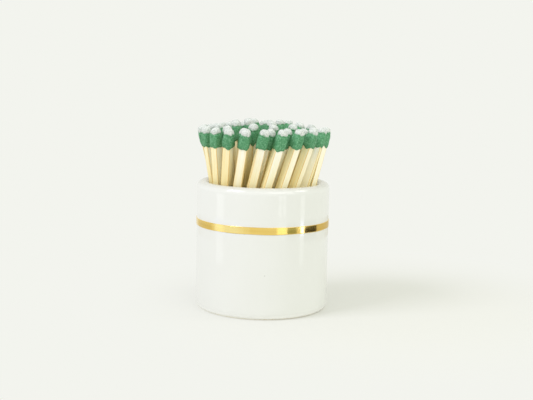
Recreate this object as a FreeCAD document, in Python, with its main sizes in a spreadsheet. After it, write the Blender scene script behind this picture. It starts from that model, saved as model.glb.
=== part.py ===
import FreeCAD, Part
import Sketcher
import math
import os
import random

# Match striker: a small glazed porcelain cup with a gold band, packed with strike-anywhere
# matches that stand on its floor and fan out over its rim in a loose swirl. The flat base is
# left unglazed, and a match is struck on it.
# Millimetres. The origin is the middle of the base, +Z points up, and -Y faces the viewer.

# Driving dimensions. Each one is a cell of the sheet, and the pieces take their sizes from there.
SIZES = {
    "cup_radius": 19.0,
    "cup_height": 36.4,
    "cup_wall": 3.5,
    "cup_floor": 4.0,
    "rim_round": 1.7,
    "foot_round": 2.2,
    "well_bevel": 2.0,
    "band_middle": 24.9,
    "band_width": 2.0,
    "band_thickness": 0.1,
    "match_length": 50.2,
    "splint_side": 2.3,
    "head_length": 3.3,
    "tip_length": 2.3,
    "head_coat": 0.34,
    "head_taper": 0.9,
    "seat_gap": 0.03,
    "lean_gap": 0.1,
    "side_gap": 0.06,
    "wall_row_gap": 1.35,
    "inner_row_gap": 2.1,
    "row_gap": 1.3,
}

# The swirl: how far the foot of a match lies behind its place at the rim, seen from above.
SWIRL_DEGREES = 62.0
# The feet stand closer to the middle than the places at the rim, most of all at the two sides,
# and the whole bundle has slumped to the right and to the front.
FOOT_SHARE = 0.9
SIDE_SPREAD = 0.15
SLUMP_RIGHT = 0.8
SLUMP_FRONT = 0.4
# Unevenness of a handful of matches dropped into a cup.
RIM_SCATTER = 0.3
FOOT_SCATTER = 0.6
TURN_SCATTER = 8.0
SCATTER_SEED = 8
# A match is turned about its own length, by up to this many degrees, to clear its neighbours.
TURN_LIMIT_DEGREES = 44
TURN_STEP_DEGREES = 4
# Matches of one row push each other apart alike. A match of an outer row is held by the wall, so
# it gives way by this share only, and the match further in gives way by the rest.
HELD_SHARE = 0.05
# Where two matches still clash, or one meets the wall, they get this much more room each round.
ROOM_STEP = 0.08
SETTLE_ROUNDS = 30
SETTLE_PASSES = 60

doc = FreeCAD.newDocument("match_striker")
UP = FreeCAD.Vector(0, 0, 1)
CENTRE = FreeCAD.Vector(0, 0, 0)


def make_sheet():
    """The spreadsheet that holds the driving dimensions, one alias for each."""
    made = doc.addObject("Spreadsheet::Sheet", "Sizes")
    for row, (name, value) in enumerate(SIZES.items(), start=1):
        made.set(f"A{row}", name)
        made.set(f"B{row}", str(value))
        made.setAlias(f"B{row}", name)
    doc.recompute()
    return made


sheet = make_sheet()


def size(name):
    """The value of one cell of the sheet."""
    return float(sheet.get(name))


cup_radius = size("cup_radius")
cup_height = size("cup_height")
rim_round = size("rim_round")
well_radius = cup_radius - size("cup_wall")
well_floor = size("cup_floor")
well_bevel = size("well_bevel")
wall_top = cup_height - rim_round
match_length = size("match_length")
splint_side = size("splint_side")
tip_start = match_length - size("tip_length")
head_start = tip_start - size("head_length")
# Half the room that a splint takes up beside its neighbours, when it is turned a little.
splint_reach = splint_side * 0.58
# The heights at which a leaning match is held off the wall: low in the well, and at the rim.
WALL_HEIGHTS = [well_floor + well_bevel * step / 4 for step in range(0, 5)]
WALL_HEIGHTS += [wall_top + rim_round * step / 5 for step in range(-2, 5)]


# The cup

def circle_sketch(body, name, radii, height=None):
    """A sketch of circles about the body's axis, each radius bound to the sheet."""
    plane = next(item for item in body.Origin.OriginFeatures if item.Role == "XY_Plane")
    sketch = body.newObject("Sketcher::SketchObject", name)
    sketch.AttachmentSupport = [(plane, "")]
    sketch.MapMode = "FlatFace"
    if height:
        sketch.setExpression("AttachmentOffset.Base.z", height)
    for formula, start in radii:
        circle = sketch.addGeometry(Part.Circle(CENTRE, UP, start))
        sketch.addConstraint(Sketcher.Constraint("Coincident", circle, 3, -1, 1))
        radius = sketch.addConstraint(Sketcher.Constraint("Radius", circle, start))
        sketch.setExpression(f"Constraints[{radius}]", formula)
    return sketch


def ring_edge(shape, radius, height):
    """The name of the round edge of that radius at that height."""
    for number, edge in enumerate(shape.Edges, start=1):
        curve = edge.Curve
        if isinstance(curve, Part.Circle) and abs(curve.Radius - radius) < 1e-4:
            if abs(curve.Center.z - height) < 1e-4:
                return f"Edge{number}"
    raise ValueError(f"no round edge of radius {radius} at height {height}")


def add_fillet(body, base, name, places, radius):
    """A fillet on the round edges at those places, its radius bound to a cell of the sheet."""
    fillet = body.newObject("PartDesign::Fillet", name)
    fillet.Base = (base, [ring_edge(base.Shape, *place) for place in places])
    fillet.setExpression("Radius", f"Sizes.{radius}")
    doc.recompute()
    return fillet


def make_cup():
    """The cup: a turned block, hollowed from above, its rim and foot rounded, its well bevelled."""
    body = doc.addObject("PartDesign::Body", "cup")
    body.Label = "cup"
    block = body.newObject("PartDesign::Pad", "cup_block")
    block.Profile = circle_sketch(body, "cup_outline", [("Sizes.cup_radius", cup_radius)])
    block.setExpression("Length", "Sizes.cup_height")
    doc.recompute()
    well = body.newObject("PartDesign::Pocket", "cup_well")
    well.Profile = circle_sketch(body, "well_outline",
                                 [("Sizes.cup_radius - Sizes.cup_wall", well_radius)],
                                 "Sizes.cup_height")
    well.setExpression("Length", "Sizes.cup_height - Sizes.cup_floor")
    doc.recompute()
    rim_edges = [(cup_radius, cup_height), (well_radius, cup_height)]
    rim = add_fillet(body, well, "rim_fillet", rim_edges, "rim_round")
    foot = add_fillet(body, rim, "foot_fillet", [(cup_radius, 0.0)], "foot_round")
    well_edge = ring_edge(foot.Shape, well_radius, well_floor)
    bevel = body.newObject("PartDesign::Chamfer", "well_bevel")
    bevel.Base = (foot, [well_edge])
    bevel.setExpression("Size", "Sizes.well_bevel")
    doc.recompute()
    return body


# The gold band

def make_band():
    """The fired gold band: a thin ring on the glaze, round the upper third of the cup."""
    body = doc.addObject("PartDesign::Body", "gold_band")
    body.Label = "gold_band"
    band = body.newObject("PartDesign::Pad", "band_ring")
    outline = [("Sizes.cup_radius", cup_radius),
               ("Sizes.cup_radius + Sizes.band_thickness", cup_radius + size("band_thickness"))]
    band.Profile = circle_sketch(body, "band_outline", outline,
                                 "Sizes.band_middle - Sizes.band_width / 2")
    band.setExpression("Length", "Sizes.band_width")
    doc.recompute()
    return body


# The fan of matches. Each match is known by its foot, where its axis meets the floor of the
# well, and by its rim point, where the axis passes the top of the straight wall.

def head_half_width():
    """Half the width of a head across the flats."""
    return splint_side / 2 + size("head_coat")


def head_half_corner():
    """Half the width of a head across its bevelled corners, where the coat is thinner."""
    return splint_side / math.sqrt(2) + size("head_coat") / 3


def head_reach():
    """How far the farthest corner of a head lies from the axis of its match."""
    flat = head_half_width()
    return math.hypot(flat, head_half_corner() * math.sqrt(2) - flat)


class Match:
    """One match of the fan: its row, where it stands and how it leans."""

    def __init__(self, row, foot, rim, turn):
        self.row = row
        self.foot = foot
        self.rim = rim
        self.turn = turn

    def aim(self):
        """The unit vector along the match, from its foot to its tip."""
        return (self.rim - self.foot).normalize()

    def frame(self):
        """The two directions across the match, along the sides of its square splint."""
        along = self.aim()
        across = FreeCAD.Vector(self.rim.x, self.rim.y, 0)
        across = (across - along * across.dot(along)).normalize()
        beside = along.cross(across)
        turn = math.radians(self.turn)
        first = across * math.cos(turn) + beside * math.sin(turn)
        return first, along.cross(first), along

    def placement(self):
        """The placement of the match, whose lowest corner rests on the floor of the well."""
        first, second, along = self.frame()
        lift = (abs(first.z) + abs(second.z)) * splint_side / 2 + size("seat_gap")
        start = self.foot + along * (lift / along.z)
        turn = FreeCAD.Rotation(first, second, along, "ZXY")
        return FreeCAD.Placement(start, turn)


def nearest(one, two, spans):
    """How close two matches come within those spans of their lengths, and where."""
    (one_low, one_high), (two_low, two_high) = spans
    one_aim, two_aim = one.aim(), two.aim()
    one_start = one.foot + one_aim * one_low
    two_start = two.foot + two_aim * two_low
    apart = one_start - two_start
    slant = one_aim.dot(two_aim)
    one_offset, two_offset = one_aim.dot(apart), two_aim.dot(apart)
    spread = 1 - slant * slant
    along_one = 0.0
    if spread > 1e-9:
        along_one = (slant * two_offset - one_offset) / spread
    along_one = min(max(along_one, 0.0), one_high - one_low)
    along_two = slant * along_one + two_offset
    if along_two < 0 or along_two > two_high - two_low:
        along_two = min(max(along_two, 0.0), two_high - two_low)
        along_one = min(max(slant * along_two - one_offset, 0.0), one_high - one_low)
    between = apart + one_aim * along_one - two_aim * along_two
    return between, one_low + along_one, two_low + along_two


def shove(match, push, along):
    """Shift a match sideways by a level push that acts at a distance along it."""
    share = along / (match.rim - match.foot).Length
    match.foot = match.foot + push * max(1 - share, 0.0)
    match.rim = match.rim + push * min(share, 1.0)


def wall_radius(height):
    """The inner radius of the cup at a height, from its bevelled well to the crown of the rim."""
    if height < well_floor + well_bevel:
        return well_radius - (well_floor + well_bevel - height)
    if height <= wall_top:
        return well_radius
    rise = min(height - wall_top, rim_round)
    return well_radius + rim_round - math.sqrt(rim_round ** 2 - rise ** 2)


def past_wall(start, aim, half):
    """How far a line with that half thickness reaches past the wall: low down, and at the rim."""
    low = over = 0.0
    for height in WALL_HEIGHTS:
        point = start + aim * ((height - start.z) / aim.z)
        past = math.hypot(point.x, point.y) + half - wall_radius(height)
        if height < cup_height / 2:
            low = max(low, past)
        else:
            over = max(over, past)
    return low, over


def drawn_in(point, amount):
    """A point moved level towards the axis of the cup."""
    reach = math.hypot(point.x, point.y)
    share = (reach - amount) / reach
    return FreeCAD.Vector(point.x * share, point.y * share, point.z)


def keep_inside(match, extra):
    """Hold a match off the wall of the cup, at its foot and over the rounded rim."""
    low, over = past_wall(match.foot, match.aim(), splint_reach + size("lean_gap") + extra)
    if low > 0:
        match.foot = drawn_in(match.foot, low)
    if over > 0:
        match.rim = drawn_in(match.rim, over)


def clears_wall(match):
    """Whether the four long edges of a splint keep off the wall of the cup."""
    first, second, along = match.frame()
    start = match.placement().Base
    for one in (-1, 1):
        for two in (-1, 1):
            corner = start + (first * one + second * two) * (splint_side / 2)
            if max(past_wall(corner, along, size("lean_gap") / 2)) > 0:
                return False
    return True


def box_corners(match):
    """The eight corners of a splint, its middle and its half sides."""
    place = match.placement()
    first, second, along = match.frame()
    half = [first * (splint_side / 2), second * (splint_side / 2), along * (tip_start / 2)]
    return place.Base + half[2], half, (first, second, along)


def splints_clear(one, two):
    """Whether two square splints keep clear: some direction separates the boxes."""
    one_middle, one_half, one_axes = box_corners(one)
    two_middle, two_half, two_axes = box_corners(two)
    apart = two_middle - one_middle
    directions = list(one_axes) + list(two_axes)
    directions += [first.cross(second) for first in one_axes for second in two_axes]
    for direction in directions:
        length = direction.Length
        if length > 1e-6:
            reach = sum(abs(half.dot(direction)) for half in one_half + two_half)
            if abs(apart.dot(direction)) > reach + size("side_gap") * length:
                return True
    return False


def level(bearing, radius):
    """A level vector of that length, in that direction."""
    return FreeCAD.Vector(math.cos(bearing), math.sin(bearing), 0) * radius


def lean_back(bearing, radius):
    """Where the foot stands, on the floor, of a match that passes the rim there."""
    behind = bearing - math.radians(SWIRL_DEGREES)
    share = FOOT_SHARE - SIDE_SPREAD * math.cos(bearing) ** 4
    return level(behind, radius * share) + FreeCAD.Vector(-SLUMP_RIGHT, SLUMP_FRONT, 0)


def scatter_matches(draw):
    """The rows of matches before they settle, as many in each row as stand side by side."""
    matches = []
    row = 0
    radius = well_radius - splint_reach - size("lean_gap")
    spacing = splint_side + size("wall_row_gap")
    while radius > 0:
        count = max(1, int(2 * math.pi * radius / spacing))
        start = draw.uniform(0, 2 * math.pi)
        for number in range(count):
            bearing = start + 2 * math.pi * number / count
            stray = FreeCAD.Vector(draw.gauss(0, 1), draw.gauss(0, 1), 0)
            rim = level(bearing, radius) + stray * RIM_SCATTER + UP * wall_top
            stray = FreeCAD.Vector(draw.gauss(0, 1), draw.gauss(0, 1), 0)
            foot = lean_back(bearing, radius) + stray * FOOT_SCATTER + UP * well_floor
            matches.append(Match(row, foot, rim, draw.uniform(-TURN_SCATTER, TURN_SCATTER)))
        row += 1
        radius -= splint_side + size("row_gap")
        spacing = splint_side + size("inner_row_gap")
    return matches


def settle(matches, room):
    """Push matches apart until splints and heads have the room they need."""
    whole = (0.0, match_length)
    stem = (0.0, tip_start)
    head = (head_start, match_length)
    head_side = head_reach()
    mixed = head_side + splint_reach
    demands = [((stem, stem), 2 * splint_reach), ((head, head), 2 * head_side),
               ((head, stem), mixed), ((stem, head), mixed)]
    for passes in range(SETTLE_PASSES):
        moved = False
        for number, one in enumerate(matches):
            for other in range(number):
                two = matches[other]
                extra = room.get((other, number), 0.0)
                closest = nearest(one, two, (whole, whole))[0].Length
                if closest > 2 * head_side + size("side_gap") + extra:
                    continue
                for spans, needed in demands:
                    between, along_one, along_two = nearest(one, two, spans)
                    lack = needed + size("side_gap") + extra - between.Length
                    if lack > 1e-3:
                        push = FreeCAD.Vector(between.x, between.y, 0).normalize() * lack
                        share = 0.55 if one.row == two.row else HELD_SHARE
                        shove(one, push * (1.1 - share), along_one)
                        shove(two, push * -share, along_two)
                        moved = True
            keep_inside(one, room.get((number, number), 0.0))
        if not moved:
            break


def turn_clear(matches):
    """Turn each match as little as clears the others and the wall; name what still clashes."""
    steps = range(-TURN_LIMIT_DEGREES, TURN_LIMIT_DEGREES + 1, TURN_STEP_DEGREES)
    clashes = []
    for number, match in enumerate(matches):
        turns = [match.turn] + sorted(steps, key=lambda turn: abs(turn - match.turn))
        fewest = None
        for turn in turns:
            match.turn = turn
            hits = [other for other in range(number) if not splints_clear(match, matches[other])]
            if not clears_wall(match):
                hits.append(number)
            if fewest is None or len(hits) < len(fewest[1]):
                fewest = (turn, hits)
            if not hits:
                break
        match.turn = fewest[0]
        clashes += [(other, number) for other in fewest[1]]
    return clashes


def lay_out_matches():
    """The settled fan of matches."""
    draw = random.Random(SCATTER_SEED)
    matches = scatter_matches(draw)
    room = {}
    for attempt in range(SETTLE_ROUNDS):
        settle(matches, room)
        clashes = turn_clear(matches)
        print("settling round", attempt + 1, "leaves", len(clashes), "pairs that clash")
        if not clashes:
            break
        for pair in clashes:
            room[pair] = room.get(pair, 0.0) + ROOM_STEP
    return matches


# The pieces of a match, each modelled with the foot of the match at the origin

def make_splint(number, match):
    """The square wooden splint, which runs up through the green head to the white tip."""
    splint = doc.addObject("Part::Box", f"splint_{number:02d}")
    splint.Label = f"splint_{number:02d}"
    splint.setExpression("Length", "Sizes.splint_side")
    splint.setExpression("Width", "Sizes.splint_side")
    splint.setExpression("Height", "Sizes.match_length - Sizes.tip_length")
    place = match.placement()
    half = FreeCAD.Vector(-splint_side / 2, -splint_side / 2, 0)
    splint.Placement = place.multiply(FreeCAD.Placement(half, FreeCAD.Rotation()))
    return splint


def bevelled_square(flat, corner, height):
    """The eight corners of a square with bevelled corners, given by its two half widths."""
    short = corner * math.sqrt(2) - flat
    quarter = [(flat, -short), (flat, short)]
    points = []
    for turn in range(4):
        for x, y in quarter:
            points.append(FreeCAD.Vector(x, y, height))
        quarter = [(-y, x) for x, y in quarter]
    return points


def stacked_solid(outlines):
    """A solid through a stack of outlines with as many corners each, from the lowest up."""
    count = len(outlines[0])
    faces = []
    for lower, upper in zip(outlines, outlines[1:]):
        for corner in range(count):
            follow = (corner + 1) % count
            side = [lower[corner], lower[follow], upper[follow], upper[corner], lower[corner]]
            faces.append(Part.Face(Part.makePolygon(side)))
    for outline in (outlines[0], outlines[-1]):
        faces.append(Part.Face(Part.makePolygon(outline + outline[:1])))
    return Part.Solid(Part.Shell(faces))


def socket():
    """The space that the splint takes up inside the head."""
    corner = FreeCAD.Vector(-splint_side / 2, -splint_side / 2, 0)
    return Part.makeBox(splint_side, splint_side, tip_start, corner)


def head_shape():
    """The green head: a coat round the end of the splint, thin at its lower edge."""
    flat, corner = head_half_width(), head_half_corner()
    splint_flat, splint_corner = splint_side / 2, splint_side / math.sqrt(2)
    low_flat = splint_flat + (flat - splint_flat) * 0.35
    low_corner = splint_corner + (corner - splint_corner) * 0.5
    outlines = [bevelled_square(low_flat, low_corner, head_start),
                bevelled_square(flat, corner, head_start + size("head_taper")),
                bevelled_square(flat, corner, tip_start)]
    return stacked_solid(outlines).cut(socket())


def tip_shape():
    """The white tip: a rounded cap on the end of the splint and on the green round it."""
    flat, corner = head_half_width(), head_half_corner()
    shoulder = tip_start + size("tip_length") * 0.5
    outlines = [bevelled_square(flat, corner, tip_start),
                bevelled_square(flat * 0.93, corner * 0.9, shoulder),
                bevelled_square(flat * 0.5, corner * 0.46, match_length)]
    return stacked_solid(outlines)


def make_group(name, shape, matches):
    """One node for the like pieces of all the matches, each a solid of its own."""
    group = doc.addObject("Part::Feature", name)
    group.Label = name
    copies = []
    for match in matches:
        copy = shape.copy()
        copy.Placement = match.placement()
        copies.append(copy)
    group.Shape = Part.makeCompound(copies)
    return group


def check_document():
    """Stop if any object of the document failed."""
    for item in doc.Objects:
        if "Invalid" in item.State or "Error" in item.State:
            raise RuntimeError(f"{item.Label} failed: {item.State}")


def write_parts(pieces):
    """Write each piece to a file named after it, once all of them are known to be sound."""
    for piece in pieces:
        if piece.Shape.isNull() or not piece.Shape.isValid():
            raise RuntimeError(f"{piece.Label} has no valid shape")
    os.makedirs("parts", exist_ok=True)
    for piece in pieces:
        piece.Shape.exportStep(f"parts/{piece.Label}.step")
        print(piece.Label, "solids", len(piece.Shape.Solids), "volume", round(piece.Shape.Volume, 2))


pieces = [make_cup(), make_band()]
matches = lay_out_matches()
pieces += [make_splint(number, match) for number, match in enumerate(matches, start=1)]
pieces.append(make_group("green_heads", head_shape(), matches))
pieces.append(make_group("white_tips", tip_shape(), matches))
doc.recompute()
check_document()
write_parts(pieces)
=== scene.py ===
# %% [markdown]
# # A match striker, dressed in Blender
# The object is a small white porcelain cup with a fired gold band. It is packed with wooden
# matches that have green heads and white tips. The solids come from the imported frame. This
# script gives each of them a finer form and a finish that follows the real one.

# %% Load the frame
import math
import random

import bmesh
import bpy
from mathutils import Matrix, Vector, noise


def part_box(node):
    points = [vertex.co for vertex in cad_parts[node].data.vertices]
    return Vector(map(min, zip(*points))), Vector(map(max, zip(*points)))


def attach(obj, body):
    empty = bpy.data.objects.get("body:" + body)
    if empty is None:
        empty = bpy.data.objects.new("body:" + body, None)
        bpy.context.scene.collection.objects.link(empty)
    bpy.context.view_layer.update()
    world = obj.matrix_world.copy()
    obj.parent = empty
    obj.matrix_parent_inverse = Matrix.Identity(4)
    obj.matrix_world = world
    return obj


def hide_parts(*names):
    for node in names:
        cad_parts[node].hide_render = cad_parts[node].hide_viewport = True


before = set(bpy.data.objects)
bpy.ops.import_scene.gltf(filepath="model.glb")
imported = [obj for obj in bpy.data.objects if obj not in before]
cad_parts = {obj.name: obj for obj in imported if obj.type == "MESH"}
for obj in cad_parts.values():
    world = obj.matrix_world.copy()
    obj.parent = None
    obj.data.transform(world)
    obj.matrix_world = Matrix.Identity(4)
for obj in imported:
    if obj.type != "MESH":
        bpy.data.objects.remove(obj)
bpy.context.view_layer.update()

MM = 0.001

# %% [markdown]
# ## The camera
# The photograph looks slightly down on the cup from the front. A long lens keeps the sides of
# the cup nearly upright. The camera leans a little to one side, as a hand-held one does, so its
# matrix is written out from three directions: right, up and forward.

# %% Camera
FRAME_WIDTH_PX = 533
FOCAL_PX = 1006.3
SENSOR_MM = 36.0
CAMERA_BACK = 286.7 * MM
CAMERA_HEIGHT = 71.5 * MM
CAMERA_PITCH = 0.1411
CAMERA_YAW = 0.0035
CAMERA_ROLL = 0.0218


def make_camera():
    """The camera at the photograph's viewing angle."""
    forward = Vector((math.sin(CAMERA_YAW) * math.cos(CAMERA_PITCH),
                      math.cos(CAMERA_YAW) * math.cos(CAMERA_PITCH),
                      -math.sin(CAMERA_PITCH)))
    right = forward.cross(Vector((0, 0, 1))).normalized()
    up = right.cross(forward)
    rolled_right = right * math.cos(CAMERA_ROLL) + up * math.sin(CAMERA_ROLL)
    rolled_up = up * math.cos(CAMERA_ROLL) - right * math.sin(CAMERA_ROLL)
    data = bpy.data.cameras.new("camera")
    data.sensor_width = SENSOR_MM
    data.lens = FOCAL_PX / FRAME_WIDTH_PX * SENSOR_MM
    data.clip_start = 0.01
    data.clip_end = 20.0
    camera = bpy.data.objects.new("camera", data)
    turn = Matrix((rolled_right, rolled_up, -forward)).transposed()
    place = Vector((0, -CAMERA_BACK, CAMERA_HEIGHT))
    camera.matrix_world = Matrix.LocRotScale(place, turn.to_quaternion(), None)
    bpy.context.scene.collection.objects.link(camera)
    bpy.context.scene.camera = camera
    return camera


camera = make_camera()
print("lens in mm:", round(camera.data.lens, 1))

# %% [markdown]
# ## Helpers for materials
# A material here is a short chain of nodes. A few helpers keep the chains readable: one makes a
# node and fills in its sockets, and the others ramp, spread, blend and bump what a noise gives.

# %% Material helpers


def new_material(name):
    """A material with an empty node tree and its Principled shader."""
    material = bpy.data.materials.new(name)
    material.use_nodes = True
    tree = material.node_tree
    tree.nodes.clear()
    output = tree.nodes.new("ShaderNodeOutputMaterial")
    shader = tree.nodes.new("ShaderNodeBsdfPrincipled")
    tree.links.new(shader.outputs["BSDF"], output.inputs["Surface"])
    return material, tree, shader


def add_node(tree, kind, inputs=None, **settings):
    """A node with its settings, and with values or links for its inputs."""
    node = tree.nodes.new(kind)
    for name, value in settings.items():
        setattr(node, name, value)
    for socket, value in (inputs or {}).items():
        if isinstance(value, bpy.types.NodeSocket):
            tree.links.new(value, node.inputs[socket])
        else:
            node.inputs[socket].default_value = value
    return node


def ramp(tree, factor, stops):
    """A colour ramp through (place, colour) stops."""
    node = add_node(tree, "ShaderNodeValToRGB", {"Fac": factor})
    elements = node.color_ramp.elements
    while len(elements) < len(stops):
        elements.new(0.5)
    for element, (place, colour) in zip(elements, stops):
        element.position = place
        element.color = (*colour, 1.0)
    return node.outputs["Color"]


def spread(tree, value, start, end, low=0.0, high=1.0, kind="LINEAR"):
    """A value carried from one range to another and held at its ends."""
    node = add_node(tree, "ShaderNodeMapRange",
                    {"Value": value, "From Min": start, "From Max": end, "To Min": low,
                     "To Max": high}, interpolation_type=kind)
    return node.outputs["Result"]


def opaque(colour):
    """A colour for a socket: a link as it is, or three plain values with full alpha."""
    return colour if isinstance(colour, bpy.types.NodeSocket) else (*colour, 1.0)


def blend(tree, share, one, two, kind="MIX"):
    """Two colours, links or plain ones, mixed by a share."""
    node = add_node(tree, "ShaderNodeMix", {0: share, 6: opaque(one), 7: opaque(two)},
                    data_type="RGBA", blend_type=kind)
    return node.outputs[2]


def fine_noise_group():
    """A group that turns a vector into even noise, a mottle, for colour, roughness and bump."""
    group = bpy.data.node_groups.new("mottle", "ShaderNodeTree")
    group.interface.new_socket("Vector", in_out="INPUT", socket_type="NodeSocketVector")
    scale = group.interface.new_socket("Scale", in_out="INPUT", socket_type="NodeSocketFloat")
    scale.default_value = 1.0
    detail = group.interface.new_socket("Detail", in_out="INPUT", socket_type="NodeSocketFloat")
    detail.default_value = 3.0
    group.interface.new_socket("Mask", in_out="OUTPUT", socket_type="NodeSocketFloat")
    start = group.nodes.new("NodeGroupInput")
    end = group.nodes.new("NodeGroupOutput")
    speckle = add_node(group, "ShaderNodeTexNoise",
                       {"Vector": start.outputs["Vector"], "Scale": start.outputs["Scale"],
                        "Detail": start.outputs["Detail"], "Roughness": 0.6})
    group.links.new(spread(group, speckle.outputs["Fac"], 0.3, 0.7), end.inputs["Mask"])
    return group


MOTTLE = fine_noise_group()


def mottle(tree, vector, scale, detail=3.0):
    """The mask of a mottle group placed in a material."""
    node = tree.nodes.new("ShaderNodeGroup")
    node.node_tree = MOTTLE
    tree.links.new(vector, node.inputs["Vector"])
    node.inputs["Scale"].default_value = scale
    node.inputs["Detail"].default_value = detail
    return node.outputs["Mask"]


def bump(tree, shader, height, strength, distance):
    """A bump from a height, linked to the shader's normal."""
    node = add_node(tree, "ShaderNodeBump",
                    {"Height": height, "Strength": strength, "Distance": distance})
    tree.links.new(node.outputs["Normal"], shader.inputs["Normal"])


# %% [markdown]
# ## Helpers for meshes
# Every piece is a bmesh that becomes an object at the origin, with its place in its mesh. The
# object rides on the one body of the frame and takes the place of its solids.

# %% Mesh helpers


def finish_piece(name, form, material, nodes, smooth=True):
    """Turn a bmesh into a piece of the object that stands for those nodes of the frame."""
    mesh = bpy.data.meshes.new(name)
    form.to_mesh(mesh)
    form.free()
    mesh.materials.append(material)
    for polygon in mesh.polygons:
        polygon.use_smooth = smooth
    piece = bpy.data.objects.new(name, mesh)
    bpy.context.scene.collection.objects.link(piece)
    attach(piece, "root")
    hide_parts(*nodes)
    print(name, "has", len(mesh.polygons), "faces")


def spin_outline(form, steps):
    """Spin what is drawn in the XZ plane once round the Z axis, and close the seam."""
    geometry = form.verts[:] + form.edges[:]
    bmesh.ops.spin(form, geom=geometry, cent=(0, 0, 0), axis=(0, 0, 1), dvec=(0, 0, 0),
                   angle=math.tau, steps=steps, use_merge=True, use_duplicate=False)
    bmesh.ops.remove_doubles(form, verts=form.verts[:], dist=1e-7)
    bmesh.ops.recalc_face_normals(form, faces=form.faces[:])


def draw_line(form, points):
    """A chain of edges through points given as radius and height in metres."""
    verts = [form.verts.new((radius, 0, height)) for radius, height in points]
    for one, two in zip(verts, verts[1:]):
        form.edges.new((one, two))
    return verts


def round_corner(form, vert, radius, segments):
    """Round one corner of a drawn line."""
    bmesh.ops.bevel(form, geom=[vert], offset=radius, offset_type="OFFSET", segments=segments,
                    profile=0.5, affect="VERTICES", material=-1, clamp_overlap=False)


# %% [markdown]
# ## The cup
# The cup is slip-cast porcelain. Its wall is thick, its rim is fully rounded and its foot turns
# under softly. One half outline is drawn, its four corners are rounded, and the outline is spun
# about the axis. A spin is right here because every section of the cup is the same circle.

# %% Cup form
_, cup_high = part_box("cup")
CUP_RADIUS = cup_high.x
CUP_HEIGHT = cup_high.z
CUP_WALL = 3.5 * MM
CUP_FLOOR = 4.0 * MM
RIM_ROUND = 1.7 * MM
FOOT_ROUND = 1.7 * MM
WELL_ROUND = 2.0 * MM
WALL_MARGIN = 0.5 * MM
CORNER_STEPS = 12
WELL_STEPS = 8
CUP_STEPS = 180


def cup_form():
    """The half outline of the cup, rounded and spun. Two points keep the wall's middle straight."""
    form = bmesh.new()
    inner = CUP_RADIUS - CUP_WALL
    corners = draw_line(form, [(0, 0), (CUP_RADIUS, 0), (CUP_RADIUS, FOOT_ROUND + WALL_MARGIN),
                               (CUP_RADIUS, CUP_HEIGHT - RIM_ROUND - WALL_MARGIN),
                               (CUP_RADIUS, CUP_HEIGHT), (inner, CUP_HEIGHT), (inner, CUP_FLOOR),
                               (0, CUP_FLOOR)])
    rounds = [(corners[1], FOOT_ROUND, CORNER_STEPS), (corners[4], RIM_ROUND, CORNER_STEPS),
              (corners[5], RIM_ROUND, CORNER_STEPS), (corners[6], WELL_ROUND, WELL_STEPS)]
    for vert, radius, segments in rounds:
        round_corner(form, vert, radius, segments)
    spin_outline(form, CUP_STEPS)
    return form


# %% [markdown]
# The glaze is a clear gloss over a warm white body. Real glaze is never quite flat, so a wide,
# shallow bump bends its reflections a little. Over the rim the colour is darker and warmer:
# partly thin glaze, partly painted shade that holds down the light from above. In the turn of
# the foot it is painted lighter, as painted light against the shade there. At the very edge of
# the foot the bare body shows as a tan line. The base has no glaze at all: its grit is what a
# match is struck on. Masks made from the height divide these finishes.

# %% Cup finish
BARE_HEIGHT = 0.4 * MM
BARE_WANDER = 0.25 * MM
# Heights of the painted light in the turn of the foot.
FOOT_LIGHT_FROM = 0.7 * MM
FOOT_LIGHT_TO = 1.7 * MM
PINHOLE = (0.86 * MM, -18.98 * MM, 12.6 * MM)
PINHOLE_MIDDLE = 0.08 * MM
PINHOLE_EDGE = 0.2 * MM
PINHOLE_SHARE = 0.4
# Share of the painted shade over the rim, partly thin warm glaze.
RIM_SHADE_SHARE = 0.75
GRIT_SHARE = 6.0
GLAZE_TINTS = [(0.0, (0.707, 0.716, 0.664)), (1.0, (0.727, 0.736, 0.688))]
BODY_TINTS = [(0.0, (0.72, 0.64, 0.48)), (0.5, (0.87, 0.81, 0.66)), (1.0, (0.93, 0.90, 0.80))]
PINHOLE_TINT = (0.22, 0.20, 0.17)
# Painted shade over the rim, partly thin warm glaze.
RIM_SHADE_TINT = (0.55, 0.552, 0.490)
# Painted light in the turn of the foot, against the shade there.
FOOT_LIGHT_TINT = (0.88, 0.885, 0.845)


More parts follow.
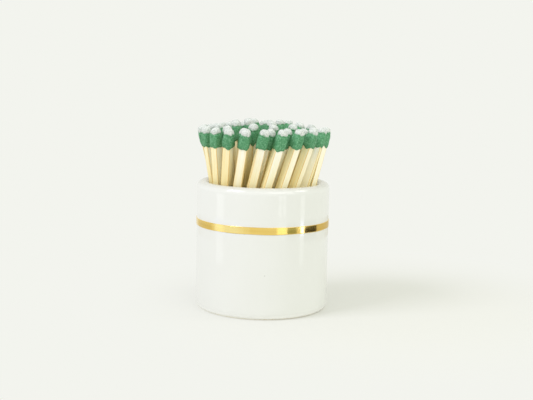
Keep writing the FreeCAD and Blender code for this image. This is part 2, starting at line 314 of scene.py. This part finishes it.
def glaze_material():
    """White glaze above, bare gritty body at the foot and on the base."""
    material, tree, shader = new_material("white_glaze")
    place = add_node(tree, "ShaderNodeTexCoord").outputs["Object"]
    height = add_node(tree, "ShaderNodeSeparateXYZ", {"Vector": place}).outputs["Z"]
    ragged = mottle(tree, place, 700.0)
    wander = add_node(tree, "ShaderNodeMath", {0: ragged, 1: -BARE_WANDER, 2: height},
                      operation="MULTIPLY_ADD").outputs[0]
    bare = spread(tree, wander, BARE_HEIGHT * 0.2, BARE_HEIGHT, 1.0, 0.0)
    tint = ramp(tree, mottle(tree, place, 45.0, 2.0), GLAZE_TINTS)
    speck = mottle(tree, place, 2600.0, 1.0)
    away = add_node(tree, "ShaderNodeVectorMath", {0: place, 1: PINHOLE}, operation="DISTANCE")
    dot = spread(tree, away.outputs["Value"], PINHOLE_MIDDLE, PINHOLE_EDGE, PINHOLE_SHARE, 0.0)
    # Painted shade over the rim, partly thin warm glaze.
    thin = spread(tree, height, CUP_HEIGHT - RIM_ROUND, CUP_HEIGHT, 0.0, RIM_SHADE_SHARE, "SMOOTHSTEP")
    # Painted light in the turn of the foot, against the shade there.
    foot_light = spread(tree, height, FOOT_LIGHT_FROM, FOOT_LIGHT_TO, 1.0, 0.0, "SMOOTHSTEP")
    dotted = blend(tree, dot, tint, PINHOLE_TINT)
    rim = blend(tree, thin, dotted, RIM_SHADE_TINT)
    foot_lit = blend(tree, foot_light, rim, FOOT_LIGHT_TINT)
    colour = blend(tree, bare, foot_lit, ramp(tree, speck, BODY_TINTS))
    tree.links.new(colour, shader.inputs["Base Color"])
    tree.links.new(spread(tree, bare, 0.0, 1.0, 0.07, 0.85), shader.inputs["Roughness"])
    shader.inputs["IOR"].default_value = 1.5
    ripple = mottle(tree, place, 60.0, 1.0)
    grit = add_node(tree, "ShaderNodeMath", {0: speck, 1: bare}, operation="MULTIPLY").outputs[0]
    height_sum = add_node(tree, "ShaderNodeMath", {0: grit, 1: GRIT_SHARE, 2: ripple},
                          operation="MULTIPLY_ADD").outputs[0]
    bump(tree, shader, height_sum, 0.35, 0.03 * MM)
    return material


finish_piece("cup_glazed", cup_form(), glaze_material(), ["cup"])

# %% [markdown]
# ## The gold band
# The band is brushed on as liquid gold and fired. It is only a film, so its edges are a little
# uneven and it mirrors the room. It is a short tube with softened outer corners, spun like the
# cup, and its edge vertices are moved by a slow noise.

# %% Gold band
band_low, band_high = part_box("gold_band")
BAND_RADIUS = band_high.x
BAND_SINK = 0.05 * MM
BAND_EDGE = 0.15 * MM
BAND_WANDER = 0.07 * MM
BAND_STEPS = 240
BRUSH_SCALE = (40.0, 40.0, 900.0)
GOLD_TINTS = [(0.0, (0.86, 0.60, 0.16)), (1.0, (0.95, 0.70, 0.22))]


def band_form():
    """A thin ring on the wall of the cup, with slightly uneven edges."""
    form = bmesh.new()
    inner = CUP_RADIUS - BAND_SINK
    corners = draw_line(form, [(inner, band_low.z), (BAND_RADIUS, band_low.z),
                               (BAND_RADIUS, band_low.z + BAND_EDGE),
                               (BAND_RADIUS, band_high.z - BAND_EDGE),
                               (BAND_RADIUS, band_high.z), (inner, band_high.z)])
    form.edges.new((corners[5], corners[0]))
    for vert in (corners[1], corners[4]):
        round_corner(form, vert, BAND_EDGE / 3, 3)
    spin_outline(form, BAND_STEPS)
    middle = (band_low.z + band_high.z) / 2
    for vert in form.verts:
        around = Vector((vert.co.x, vert.co.y, 0)) * 160
        side = 1 if vert.co.z > middle else -1
        vert.co.z += side * BAND_WANDER * noise.noise(around + Vector((0, 0, 7.0 * side)))
    return form


def gold_material():
    """Polished gold lustre, with faint brush lines round the cup and a few thin places."""
    material, tree, shader = new_material("gold_lustre")
    place = add_node(tree, "ShaderNodeTexCoord").outputs["Object"]
    flat = add_node(tree, "ShaderNodeMapping", {"Vector": place, "Scale": BRUSH_SCALE})
    lines = mottle(tree, flat.outputs["Vector"], 1.0, 2.0)
    tree.links.new(ramp(tree, lines, GOLD_TINTS), shader.inputs["Base Color"])
    tree.links.new(spread(tree, lines, 0.0, 1.0, 0.10, 0.17), shader.inputs["Roughness"])
    shader.inputs["Metallic"].default_value = 1.0
    bump(tree, shader, lines, 0.15, 0.01 * MM)
    return material


finish_piece("gold_band_fired", band_form(), gold_material(), ["gold_band"])

# %% [markdown]
# ## Where the matches stand
# Each splint of the frame is a plain square stick. Its eight corners give the middle of its
# foot, the direction it leans in and the way its faces look. That is all that a finer match
# needs, so every later piece is modelled upright in millimetres and then carried to its splint.
# Of the two ways to name a square's sides, the one is taken that turns the first pair of faces
# to the front and slightly to the right, so that pair stays pale as lit and the other pair gets
# painted shade.

# %% Read the splints
# Faces turned this way stay pale as lit; the other pair gets painted shade.
LIT_SIDE = Vector((0.35, -0.94, 0))
SPLINT_NODES = sorted(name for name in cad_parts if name.startswith("splint_"))


def splint_matrix(node):
    """The matrix that carries an upright match in millimetres to one splint of the frame."""
    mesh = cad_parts[node].data
    places = {tuple(round(v, 7) for v in vert.co): vert.co.copy() for vert in mesh.vertices}
    corners = sorted(places.values(), key=lambda corner: corner.z)
    low, high = corners[:4], corners[4:]
    foot = sum(low, Vector()) / 4
    along = (sum(high, Vector()) / 4 - foot).normalized()
    first, *others = low
    sides = [corner - first for corner in sorted(others, key=lambda c: (c - first).length)[:2]]
    across = max(sides, key=lambda side: abs(side.dot(LIT_SIDE)))
    across = (across - along * across.dot(along)).normalized()
    turn = Matrix((across, along.cross(across), along)).transposed()
    return Matrix.LocRotScale(foot, turn.to_quaternion(), (MM, MM, MM))


match_places = [splint_matrix(node) for node in SPLINT_NODES]
print("matches:", len(match_places))

# %% [markdown]
# ## A match, upright in millimetres
# The splint is sawn square and its corners are barely broken. The head is a coat round the end
# of the splint, square like the splint below and rounder above. The tip is a small dome of
# chalky white. Head and tip are drawn as one ring of points that is extruded upwards from
# station to station, which gives even faces for the lumps that are added later.

# %% Match templates
MATCH_LENGTH = 50.2
SPLINT_SIDE = 2.3
SPLINT_LENGTH = 46.8
HEAD_START = 44.6
TIP_START = 48.6
HEAD_HALF = 1.49
TIP_HALF = 1.32
RING_POINTS = 28
LAP = 0.25
CORNER_BREAK = 0.09
SPLINT_CUTS = 24


def long_edges(form):
    """The edges that run along a stick."""
    return [edge for edge in form.edges if edge.calc_length() > SPLINT_LENGTH / 2]


def splint_template():
    """A square stick with broken corners and even cuts along its length."""
    form = bmesh.new()
    bmesh.ops.create_cube(form, size=1.0)
    bmesh.ops.scale(form, verts=form.verts[:], vec=(SPLINT_SIDE, SPLINT_SIDE, SPLINT_LENGTH))
    bmesh.ops.translate(form, verts=form.verts[:], vec=(0, 0, SPLINT_LENGTH / 2))
    bmesh.ops.bevel(form, geom=long_edges(form), offset=CORNER_BREAK, offset_type="OFFSET",
                    segments=2, profile=0.5, affect="EDGES", material=-1)
    bmesh.ops.subdivide_edges(form, edges=long_edges(form), cuts=SPLINT_CUTS, use_grid_fill=False)
    mesh = bpy.data.meshes.new("splint_template")
    form.to_mesh(mesh)
    form.free()
    return mesh


def squared(angle, power):
    """The reach of a rounded square in that direction, for a half width of one."""
    return (abs(math.cos(angle)) ** power + abs(math.sin(angle)) ** power) ** (-1 / power)


def coat_template(name, stations):
    """A closed coat through stations of height, half width and squareness."""
    form = bmesh.new()
    ring = bmesh.ops.create_circle(form, cap_ends=True, segments=RING_POINTS, radius=1.0)["verts"]
    loop = [edge for edge in form.edges if edge.is_boundary]
    rings = [ring]
    for _ in stations[1:]:
        made = bmesh.ops.extrude_edge_only(form, edges=loop)["geom"]
        ring = [item for item in made if isinstance(item, bmesh.types.BMVert)]
        loop = [item for item in made if isinstance(item, bmesh.types.BMEdge) and item.is_boundary]
        rings.append(ring)
    for ring, (height, half, power) in zip(rings, stations):
        for vert in ring:
            angle = math.atan2(vert.co.y, vert.co.x)
            reach = half * squared(angle, power)
            vert.co = (reach * math.cos(angle), reach * math.sin(angle), height)
    bmesh.ops.contextual_create(form, geom=loop)
    bmesh.ops.recalc_face_normals(form, faces=form.faces[:])
    mesh = bpy.data.meshes.new(name)
    form.to_mesh(mesh)
    form.free()
    return mesh


def head_stations():
    """The green coat: thin at its lower edge, fullest low down, rounded in towards the tip."""
    full = HEAD_START + 0.9
    stations = [(HEAD_START, SPLINT_SIDE / 2 + 0.02, 9.0), (HEAD_START + 0.05, 1.27, 8.0),
                (HEAD_START + 0.4, 1.42, 6.0), (full, HEAD_HALF, 5.0)]
    for step in range(1, 8):
        share = step / 7
        height = full + (TIP_START - full) * share
        stations.append((height, HEAD_HALF - 0.2 * share ** 4, 5.0 - 1.8 * share))
    stations.append((TIP_START + 0.08, 0.95, 3.0))
    return stations


def tip_stations():
    """The white tip: a dome that starts just inside the green and narrows to the end."""
    stations = [(TIP_START - LAP, 0.9, 3.0), (TIP_START - LAP, TIP_HALF, 3.2)]
    dome = MATCH_LENGTH - TIP_START
    for step in range(0, 9):
        turn = math.pi / 2 * step / 8.4
        half = TIP_HALF * math.cos(turn) ** 0.6
        stations.append((TIP_START + dome * math.sin(turn), half, 3.1 - step / 9))
    return stations


templates = {
    "splint": splint_template(),
    "head": coat_template("head_template", head_stations()),
    "tip": coat_template("tip_template", tip_stations()),
}

# %% [markdown]
# ## Fifty-one matches from three templates
# A bundle of identical matches looks stamped out. Each copy is moved vertex by vertex before it
# is carried to its place: splints bow and their faces are uneven, the lower edge of the green
# runs further down on some sides, and the white is lumpy. Each vertex also keeps its place on
# the upright match, so that the grain of the wood follows the splint.

# %% Carry the copies to their places
SCATTER_SEED = 11
COPY_STEP = 7.0
SPLINT_BOW = 0.10
SAW_DEPTH = 0.035
HEAD_LUMP = 0.05
HEAD_RUN = 0.75
RUN_REACH = 1.2
TIP_LUMP = 0.09
TIP_LEAN = 0.12
TIP_DROP = 0.15


def uneven_splint(point, seed):
    """A slight bow, and sawn faces that wander by a few hundredths of a millimetre."""
    height = point.z / SPLINT_LENGTH
    bow = SPLINT_BOW * math.sin(math.pi * height)
    turn = seed * 2.4
    where = Vector((point.x * 0.9, point.y * 0.9, point.z * 0.25 + seed * 31.7))
    rough = noise.noise(where) * SAW_DEPTH
    return point + Vector((bow * math.cos(turn) + rough, bow * math.sin(turn) + rough, 0))


def uneven_head(point, seed):
    """Runs along the lower edge, and soft lumps over the rest of the coat."""
    where = point * 0.8 + Vector((0, 0, seed * 17.3))
    lump = 1 + noise.noise(where) * HEAD_LUMP
    moved = Vector((point.x * lump, point.y * lump, point.z))
    low = max(0.0, 1 - (point.z - HEAD_START) / RUN_REACH)
    around = Vector((point.x * 0.75, point.y * 0.75, seed * 9.1))
    moved.z += low * (noise.noise(around) * HEAD_RUN)
    return moved


def uneven_tip(point, seed):
    """A lumpy dome, a little off centre."""
    where = point * 1.1 + Vector((seed * 5.9, 0, 0))
    lump = 1 + noise.noise(where) * TIP_LUMP
    rise = max(0.0, point.z - TIP_START) / (MATCH_LENGTH - TIP_START)
    lean = Vector((math.cos(seed * 4.1), math.sin(seed * 4.1), 0)) * TIP_LEAN * rise
    drop = TIP_DROP * rise * abs(math.sin(seed))
    return Vector((point.x * lump, point.y * lump, point.z - drop)) + lean


def bundle(template, uneven):
    """One bmesh with a copy of the template on every splint."""
    form = bmesh.new()
    local = form.verts.layers.float_vector.new("upright")
    tone = form.verts.layers.float.new("tone")
    draw = random.Random(SCATTER_SEED)
    for number, place in enumerate(match_places):
        start = len(form.verts)
        form.from_mesh(template)
        form.verts.ensure_lookup_table()
        shade = draw.random()
        for vert in form.verts[start:]:
            point = vert.co.copy()
            vert[local] = point + Vector((number * COPY_STEP, 0, 0))
            vert[tone] = shade
            vert.co = place @ uneven(point, number + 1.0)
    return form


# %% [markdown]
# ## The finishes of the matches
# The wood is pale aspen. Its grain is a noise that is stretched along the splint, read from the
# upright place that every vertex keeps. Two faces of each splint stay pale as lit, the other two
# are painted more golden as shade, and the four corners get darker painted shade still, where
# neighbouring splints meet. The wood is also painted a little more golden low down, near the rim
# of the cup, as shade among the crowded splints. The green and the white are matte compounds
# with speckles and fine grit. The white is thin at its lower edge, so green shows through there
# in an uneven line.

# %% Match finishes
STREAK_SCALE = (3.2, 3.2, 0.10)
WIDE_SCALE = (0.6, 0.6, 0.05)
GRAIN_TINTS = [(0.0, (0.92, 0.84, 0.60)), (0.4, (0.935, 0.925, 0.77)), (1.0, (0.93, 0.94, 0.88))]
WIDE_TINTS = [(0.0, (0.99, 0.95, 0.86)), (1.0, (1.0, 1.0, 1.0))]
SPLINT_TONES = [(0.0, (0.97, 0.94, 0.87)), (1.0, (1.0, 1.0, 1.0))]
# Painted shade low down among the crowded splints, near the rim of the cup.
LOW_WOOD_SHADE = (1.0, 0.955, 0.79)
# Painted shade on the pair of faces turned away from the light.
SHADED_FACE_WOOD = (0.98, 0.92, 0.71)
# Painted shade along the long corners, where neighbouring splints meet.
CORNER_SHADE_WOOD = (0.82, 0.62, 0.32)
LOW_WOOD_SHADE_FULL = 34.0
LOW_WOOD_SHADE_END = 43.0
SHADED_FACE_FROM = 0.06
SHADED_FACE_FULL = 0.01
CORNER_SHADE_FROM = 0.26
CORNER_SHADE_FULL = 0.03
GREEN_TINTS = [(0.0, (0.040, 0.195, 0.075)), (0.55, (0.088, 0.305, 0.132)),
               (1.0, (0.185, 0.425, 0.240))]
HEAD_TONES = [(0.0, (0.88, 0.90, 0.90)), (1.0, (1.0, 1.0, 1.0))]
CHALK_TINTS = [(0.0, (0.40, 0.45, 0.40)), (0.5, (0.565, 0.60, 0.55)), (1.0, (0.72, 0.74, 0.69))]
GREEN_BELOW = (0.068, 0.275, 0.112)
WHITE_WANDER = 0.6
WHITE_THIN = TIP_START - 0.35
WHITE_FULL = TIP_START + 0.15


def upright_place(tree):
    """The place of a point on the upright match, in millimetres, and the tone of its match."""
    place = add_node(tree, "ShaderNodeAttribute", attribute_name="upright").outputs["Vector"]
    tone = add_node(tree, "ShaderNodeAttribute", attribute_name="tone").outputs["Fac"]
    return place, tone


def shade_masks(tree, place):
    """Masks of painted shade: the two shaded faces of a splint and its four long corners."""
    parts = add_node(tree, "ShaderNodeSeparateXYZ", {"Vector": place})
    local = add_node(tree, "ShaderNodeMath",
                     {0: parts.outputs["X"], 1: COPY_STEP / 2, 2: -COPY_STEP / 2},
                     operation="WRAP").outputs[0]
    reach_x = add_node(tree, "ShaderNodeMath", {0: local}, operation="ABSOLUTE").outputs[0]
    reach_y = add_node(tree, "ShaderNodeMath", {0: parts.outputs["Y"]},
                       operation="ABSOLUTE").outputs[0]
    least = add_node(tree, "ShaderNodeMath", {0: reach_x, 1: reach_y},
                     operation="MINIMUM").outputs[0]
    half = SPLINT_SIDE / 2
    side = spread(tree, reach_y, half - SHADED_FACE_FROM, half - SHADED_FACE_FULL)
    corner = spread(tree, least, half - CORNER_SHADE_FROM, half - CORNER_SHADE_FULL)
    return side, corner


def wood_material():
    """Pale sawn aspen with fine streaks along the splint, and painted shade on two faces, the
    corners and low down.
    """
    material, tree, shader = new_material("aspen_wood")
    place, tone = upright_place(tree)
    long = add_node(tree, "ShaderNodeMapping", {"Vector": place, "Scale": STREAK_SCALE})
    streaks = mottle(tree, long.outputs["Vector"], 1.0, 4.0)
    wide = add_node(tree, "ShaderNodeMapping", {"Vector": place, "Scale": WIDE_SCALE})
    bands = mottle(tree, wide.outputs["Vector"], 1.0, 1.0)
    height = add_node(tree, "ShaderNodeSeparateXYZ", {"Vector": place}).outputs["Z"]
    # Painted shade: the wood is more golden low down, among the crowded splints.
    low = spread(tree, height, LOW_WOOD_SHADE_FULL, LOW_WOOD_SHADE_END, 1.0, 0.0)
    side, corner = shade_masks(tree, place)
    colour = ramp(tree, streaks, GRAIN_TINTS)
    colour = blend(tree, 1.0, colour, ramp(tree, bands, WIDE_TINTS), "MULTIPLY")
    colour = blend(tree, 1.0, colour, ramp(tree, tone, SPLINT_TONES), "MULTIPLY")
    # Painted shade low down among the crowded splints.
    colour = blend(tree, low, colour, LOW_WOOD_SHADE, "MULTIPLY")
    # Painted shade on the shaded pair of faces.
    colour = blend(tree, side, colour, SHADED_FACE_WOOD, "MULTIPLY")
    # Painted shade along the long corners, where neighbouring splints meet.
    colour = blend(tree, corner, colour, CORNER_SHADE_WOOD, "MULTIPLY")
    tree.links.new(colour, shader.inputs["Base Color"])
    tree.links.new(spread(tree, streaks, 0.0, 1.0, 0.75, 0.6), shader.inputs["Roughness"])
    bump(tree, shader, streaks, 0.5, 0.05 * MM)
    return material


def green_material():
    """Matte green match compound with fine grit."""
    material, tree, shader = new_material("green_compound")
    place, tone = upright_place(tree)
    grit = mottle(tree, place, 6.0)
    speckle = mottle(tree, place, 2.4, 2.0)
    colour = blend(tree, 1.0, ramp(tree, speckle, GREEN_TINTS), ramp(tree, tone, HEAD_TONES),
                   "MULTIPLY")
    tree.links.new(colour, shader.inputs["Base Color"])
    tree.links.new(spread(tree, grit, 0.0, 1.0, 0.55, 0.8), shader.inputs["Roughness"])
    bump(tree, shader, grit, 0.5, 0.06 * MM)
    return material


def white_material():
    """Chalky white compound that thins out to green along an uneven lower edge."""
    material, tree, shader = new_material("white_compound")
    place, _ = upright_place(tree)
    height = add_node(tree, "ShaderNodeSeparateXYZ", {"Vector": place}).outputs["Z"]
    wander = mottle(tree, place, 1.1, 1.0)
    edge = add_node(tree, "ShaderNodeMath", {0: wander, 1: -WHITE_WANDER, 2: height},
                    operation="MULTIPLY_ADD").outputs[0]
    cover = spread(tree, edge, WHITE_THIN, WHITE_FULL)
    grit = mottle(tree, place, 5.0)
    speckle = mottle(tree, place, 2.8, 2.0)
    colour = blend(tree, cover, GREEN_BELOW, ramp(tree, speckle, CHALK_TINTS))
    tree.links.new(colour, shader.inputs["Base Color"])
    tree.links.new(spread(tree, grit, 0.0, 1.0, 0.7, 0.9), shader.inputs["Roughness"])
    bump(tree, shader, grit, 0.6, 0.06 * MM)
    return material


finish_piece("match_splints", bundle(templates["splint"], uneven_splint), wood_material(),
             SPLINT_NODES, smooth=False)
finish_piece("match_heads", bundle(templates["head"], uneven_head), green_material(),
             ["green_heads"])
finish_piece("match_tips", bundle(templates["tip"], uneven_tip), white_material(),
             ["white_tips"])
for template in templates.values():
    bpy.data.meshes.remove(template)

# %% [markdown]
# ## Stage and light
# The photograph is high key: a pale floor runs on into a pale background with no line between
# them. The floor is mostly paper where the shadow falls, just right of the cup, and it fades with
# distance from there into the light of the world. A large soft light from the left gives the
# shadow. Two weaker ones, from the right and from the front, open the shaded sides.

# %% Stage and light
FLOOR_RADIUS = 4.0
FLOOR_PAPER = (0.647, 0.652, 0.594, 1.0)
BACKDROP = (0.896, 0.905, 0.855, 1.0)
# The floor's glow is painted light: centred right of the cup, it lifts the shade on the left, and a
# share of it stays even where the shadow falls.
SHADE_PLACE = (0.036, 0.0, 0.0)
FADE_FROM = 0.02
FADE_TO = 0.085
GLOW_NEAR = 0.24
MATTE = 0.95
bpy.context.scene.view_settings.view_transform = "Standard"


def stage_object(name, form, material):
    """Turn a bmesh into an object of the stage."""
    mesh = bpy.data.meshes.new(name)
    form.to_mesh(mesh)
    form.free()
    mesh.materials.append(material)
    thing = bpy.data.objects.new(name, mesh)
    bpy.context.scene.collection.objects.link(thing)
    return thing


def floor_material():
    """Pale paper that fades into a glow with distance from the shadow's middle; the glow is painted
    light that lifts the shade left of the cup and under its foot.
    """
    material, tree, paper = new_material("floor_paper")
    place = add_node(tree, "ShaderNodeTexCoord").outputs["Object"]
    far = add_node(tree, "ShaderNodeVectorMath", {0: place, 1: SHADE_PLACE},
                   operation="DISTANCE").outputs["Value"]
    fade = spread(tree, far, FADE_FROM, FADE_TO, GLOW_NEAR, 1.0, "SMOOTHSTEP")
    paper.inputs["Base Color"].default_value = FLOOR_PAPER
    paper.inputs["Roughness"].default_value = MATTE
    paper.inputs["Specular IOR Level"].default_value = 0.0
    glow = add_node(tree, "ShaderNodeEmission", {"Color": BACKDROP, "Strength": 1.0})
    faded = add_node(tree, "ShaderNodeMixShader",
                     {0: fade, 1: paper.outputs["BSDF"], 2: glow.outputs["Emission"]})
    output = next(node for node in tree.nodes if node.type == "OUTPUT_MATERIAL")
    tree.links.new(faded.outputs["Shader"], output.inputs["Surface"])
    return material


def make_floor():
    """A wide pale disc under the cup."""
    form = bmesh.new()
    bmesh.ops.create_circle(form, cap_ends=True, segments=96, radius=FLOOR_RADIUS)
    stage_object("floor", form, floor_material())


def make_world():
    """A plain bright surround, as bright as the floor far away."""
    world = bpy.data.worlds.new("studio")
    world.use_nodes = True
    background = world.node_tree.nodes["Background"]
    background.inputs["Color"].default_value = BACKDROP
    background.inputs["Strength"].default_value = 1.0
    bpy.context.scene.world = world


def soft_light(name, place, size, power, colour=(1.0, 1.0, 1.0)):
    """A square soft light that looks at the middle of the cup."""
    data = bpy.data.lights.new(name, "AREA")
    data.shape = "SQUARE"
    data.size = size
    data.energy = power
    data.color = colour
    light = bpy.data.objects.new(name, data)
    aim = Vector((0, 0, CUP_HEIGHT / 2)) - Vector(place)
    light.matrix_world = Matrix.LocRotScale(place, aim.to_track_quat("-Z", "Y"), None)
    light.visible_camera = False
    bpy.context.scene.collection.objects.link(light)


make_floor()
make_world()
soft_light("key_left", (-0.46, -0.28, 0.52), 0.30, 2.3, (1.0, 0.965, 1.18))
soft_light("lamp_right", (0.42, -0.03, 0.42), 0.16, 0.38)
soft_light("fill_front", (0.30, -0.42, 0.42), 0.45, 1.15)

# %% [markdown]
# ## What the glaze and the gold mirror
# A mirror shows the room, and this stage has none. A few upright cards stand round the cup, as
# they do in a product studio. They are seen in reflections only: they light nothing, cast no
# shadow, and the camera doesn't see them. The gold mirrors the cards between 12 and 17 mm of
# height. The glaze above and below it mirrors the higher and the lower ones, which draw the soft
# upright strips and the window panes. A bearing of zero is towards the viewer, and it grows
# towards the right.

# %% Cards
CARD_REACH = 78 * MM
CARD_STEP = 3
# Name, first and last bearing in degrees, lowest and highest edge in millimetres, colour.
CARDS = [
    ("left_room", -134.0, -86.0, 9.0, 16.2, (0.74, 0.72, 0.62)),
    ("window_left_top", -76.0, -62.0, 17.2, 27.0, (1.9, 1.9, 1.9)),
    ("window_left_foot", -76.0, -62.0, 2.0, 12.2, (1.6, 1.6, 1.6)),
    ("curtain_left", -80.0, -36.0, 12.2, 17.2, (1.02, 1.20, 1.75)),
    ("curtain_fold", -36.0, -28.0, 12.2, 17.2, (0.99, 1.12, 1.50)),
    ("curtain_edge", -28.0, -19.0, 12.2, 17.2, (0.94, 1.02, 1.20)),
    ("bright_wall", 22.0, 37.5, 12.0, 17.5, (1.40, 1.55, 1.50)),
    ("pane_top_left", 23.5, 28.5, 24.6, 28.6, (2.6, 2.6, 2.7)),
    ("pane_top_right", 30.0, 35.0, 24.6, 28.6, (2.4, 2.4, 2.4)),
    ("pane_foot_left", 23.5, 28.5, 19.2, 23.4, (2.2, 2.2, 2.2)),
    ("pane_foot_right", 30.0, 35.0, 19.2, 23.4, (2.2, 2.2, 2.2)),
    ("olive_wall", 37.5, 53.5, 11.5, 17.5, (0.31, 0.36, 0.25)),
    ("window_right_top", 60.0, 67.5, 17.2, 27.0, (2.2, 2.2, 2.2)),
    ("window_right", 60.5, 66.8, 12.2, 17.2, (4.4, 4.6, 6.5)),
    ("window_right_foot", 60.0, 67.5, 2.0, 12.2, (1.8, 1.8, 1.8)),
    ("dark_wall", 66.5, 95.0, 10.2, 17.0, (0.02, 0.015, 0.01)),
    ("tan_wall", 95.0, 150.0, 9.0, 16.2, (0.66, 0.61, 0.48)),
]


def make_card(name, first, last, low, high, colour):
    """A curved upright card that only reflections see."""
    form = bmesh.new()
    start = math.radians(first - 90)
    place = Vector((math.cos(start), math.sin(start), 0)) * CARD_REACH
    verts = [form.verts.new((place.x, place.y, height * MM)) for height in (low, high)]
    edge = form.edges.new(verts)
    steps = max(2, int((last - first) / CARD_STEP))
    bmesh.ops.spin(form, geom=verts + [edge], cent=(0, 0, 0), axis=(0, 0, 1), dvec=(0, 0, 0),
                   angle=math.radians(last - first), steps=steps, use_duplicate=False)
    material, _, shader = new_material(f"{name}_card")
    shader.inputs["Base Color"].default_value = (0, 0, 0, 1)
    shader.inputs["Specular IOR Level"].default_value = 0.0
    shader.inputs["Emission Color"].default_value = (*colour, 1.0)
    shader.inputs["Emission Strength"].default_value = 1.0
    card = stage_object(name, form, material)
    card.visible_camera = False
    card.visible_diffuse = False
    card.visible_shadow = False
    card.visible_transmission = False


for card in CARDS:
    make_card(*card)
